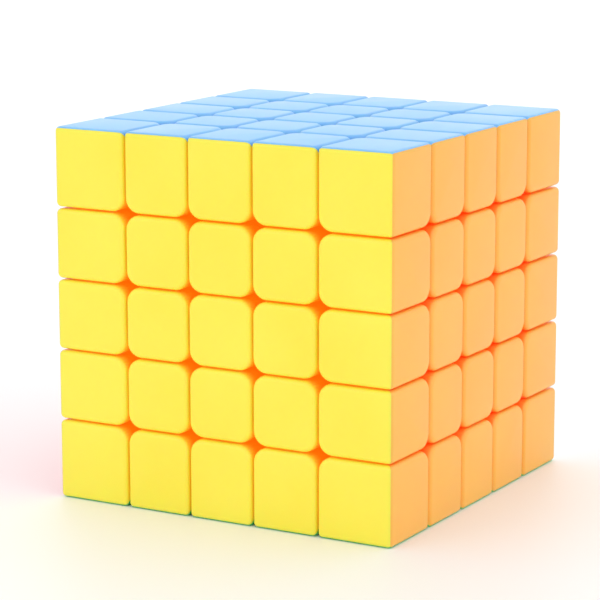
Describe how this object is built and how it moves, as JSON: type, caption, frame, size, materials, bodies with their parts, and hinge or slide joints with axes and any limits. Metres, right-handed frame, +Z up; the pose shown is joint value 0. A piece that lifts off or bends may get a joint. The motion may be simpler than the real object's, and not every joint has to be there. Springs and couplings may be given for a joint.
{
  "type": "twisty puzzle cube",
  "caption": "Twisty puzzle cube of stickerless coloured pieces whose stacked layers turn about a sprung core.",
  "frame": {"origin": "middle of the bottom face", "axes": "+Z up, through the middle of the top face; -Y is the front (yellow) face and +X the right (orange) face"},
  "size_m": [0.062, 0.062, 0.062],
  "materials": {
    "yellow_plastic": "satin moulded ABS, fine texture",
    "orange_plastic": "satin moulded ABS, fine texture",
    "blue_plastic": "satin moulded ABS, fine texture",
    "green_plastic": "satin moulded ABS, fine texture",
    "red_plastic": "satin moulded ABS, fine texture",
    "white_plastic": "satin moulded ABS, fine texture",
    "piece_plastic": "smooth moulded ABS",
    "core_plastic": "smooth moulded nylon",
    "steel": "plated steel"
  },
  "bodies": {
    "middle_layer": {"bottom_spring": "steel", "core": "core_plastic", "head_washers": "steel", "middle_back_caps": "white_plastic", "middle_cross_centre_bodies": "piece_plastic", "middle_fixed_centre_bodies": "piece_plastic", "middle_front_caps": "yellow_plastic", "middle_left_caps": "red_plastic", "middle_middle_edge_bodies": "piece_plastic", "middle_right_caps": "orange_plastic", "screws": "steel", "side_seat_washers": "steel", "side_springs": "steel", "top_spring": "steel"},
    "top_washer": {"top_seat_washer": "steel"},
    "top_layer": {"top_back_caps": "white_plastic", "top_corner_bodies": "piece_plastic", "top_cross_centre_bodies": "piece_plastic", "top_diagonal_centre_bodies": "piece_plastic", "top_face_caps": "blue_plastic", "top_fixed_centre_bodies": "piece_plastic", "top_front_caps": "yellow_plastic", "top_left_caps": "red_plastic", "top_middle_edge_bodies": "piece_plastic", "top_right_caps": "orange_plastic", "top_wing_edge_bodies": "piece_plastic"},
    "upper_layer": {"upper_back_caps": "white_plastic", "upper_cross_centre_bodies": "piece_plastic", "upper_diagonal_centre_bodies": "piece_plastic", "upper_front_caps": "yellow_plastic", "upper_left_caps": "red_plastic", "upper_right_caps": "orange_plastic", "upper_wing_edge_bodies": "piece_plastic"},
    "lower_layer": {"lower_back_caps": "white_plastic", "lower_cross_centre_bodies": "piece_plastic", "lower_diagonal_centre_bodies": "piece_plastic", "lower_front_caps": "yellow_plastic", "lower_left_caps": "red_plastic", "lower_right_caps": "orange_plastic", "lower_wing_edge_bodies": "piece_plastic"},
    "bottom_washer": {"bottom_seat_washer": "steel"},
    "bottom_layer": {"bottom_back_caps": "white_plastic", "bottom_corner_bodies": "piece_plastic", "bottom_cross_centre_bodies": "piece_plastic", "bottom_diagonal_centre_bodies": "piece_plastic", "bottom_face_caps": "green_plastic", "bottom_fixed_centre_bodies": "piece_plastic", "bottom_front_caps": "yellow_plastic", "bottom_left_caps": "red_plastic", "bottom_middle_edge_bodies": "piece_plastic", "bottom_right_caps": "orange_plastic", "bottom_wing_edge_bodies": "piece_plastic"}
  },
  "joints": [
    {"name": "top_lift", "type": "slide", "parent": "middle_layer", "child": "top_washer", "axis": [0, 0, 1], "range_m": [0, 0.0006], "stiffness_N_per_m": 400, "springref_m": -0.0015, "deforming": ["top_spring"]},
    {"name": "top_turn", "type": "hinge", "parent": "top_washer", "child": "top_layer", "pos_m": [0, 0, 0.031], "axis": [0, 0, 1], "continuous": true},
    {"name": "bottom_lift", "type": "slide", "parent": "middle_layer", "child": "bottom_washer", "axis": [0, 0, -1], "range_m": [0, 0.0006], "stiffness_N_per_m": 400, "springref_m": -0.0015, "deforming": ["bottom_spring"]},
    {"name": "bottom_turn", "type": "hinge", "parent": "bottom_washer", "child": "bottom_layer", "pos_m": [0, 0, 0.031], "axis": [0, 0, 1], "continuous": true},
    {"name": "upper_turn", "type": "hinge", "parent": "middle_layer", "child": "upper_layer", "pos_m": [0, 0, 0.031], "axis": [0, 0, 1], "continuous": true},
    {"name": "lower_turn", "type": "hinge", "parent": "middle_layer", "child": "lower_layer", "pos_m": [0, 0, 0.031], "axis": [0, 0, 1], "continuous": true}
  ]
}
